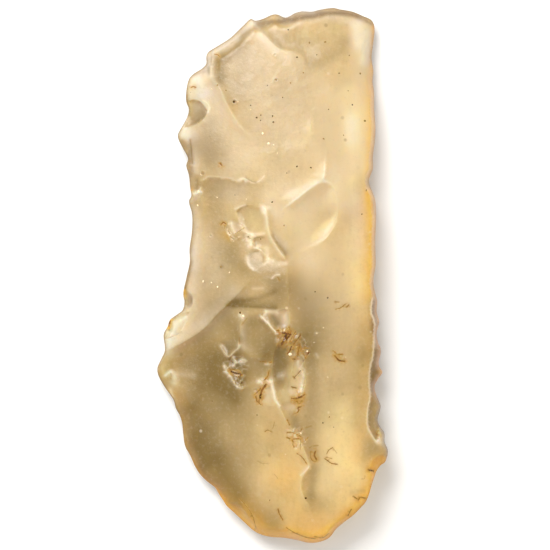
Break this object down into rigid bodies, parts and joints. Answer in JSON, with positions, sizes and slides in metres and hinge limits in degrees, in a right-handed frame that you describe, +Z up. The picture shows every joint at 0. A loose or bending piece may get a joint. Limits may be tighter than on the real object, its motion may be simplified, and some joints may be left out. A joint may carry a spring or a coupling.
{
  "type": "libyan desert glass",
  "caption": "Translucent pale-yellow natural glass knapped into a long flat blade with flake scars and scalloped edges, lying on its smooth underside.",
  "frame": {"origin": "middle of the bounding box in plan, on the ground that the blade lies on", "axes": "+Y along the blade to its rounded top end, +X to its thick edge, +Z up out of the scarred upper face"},
  "size_m": [0.0384, 0.0892, 0.0101],
  "materials": {
    "desert_glass": "translucent, slightly frosted, glossy in the fresh scars"
  },
  "bodies": {
    "root": {"desert_glass": "desert_glass"}
  },
  "joints": []
}
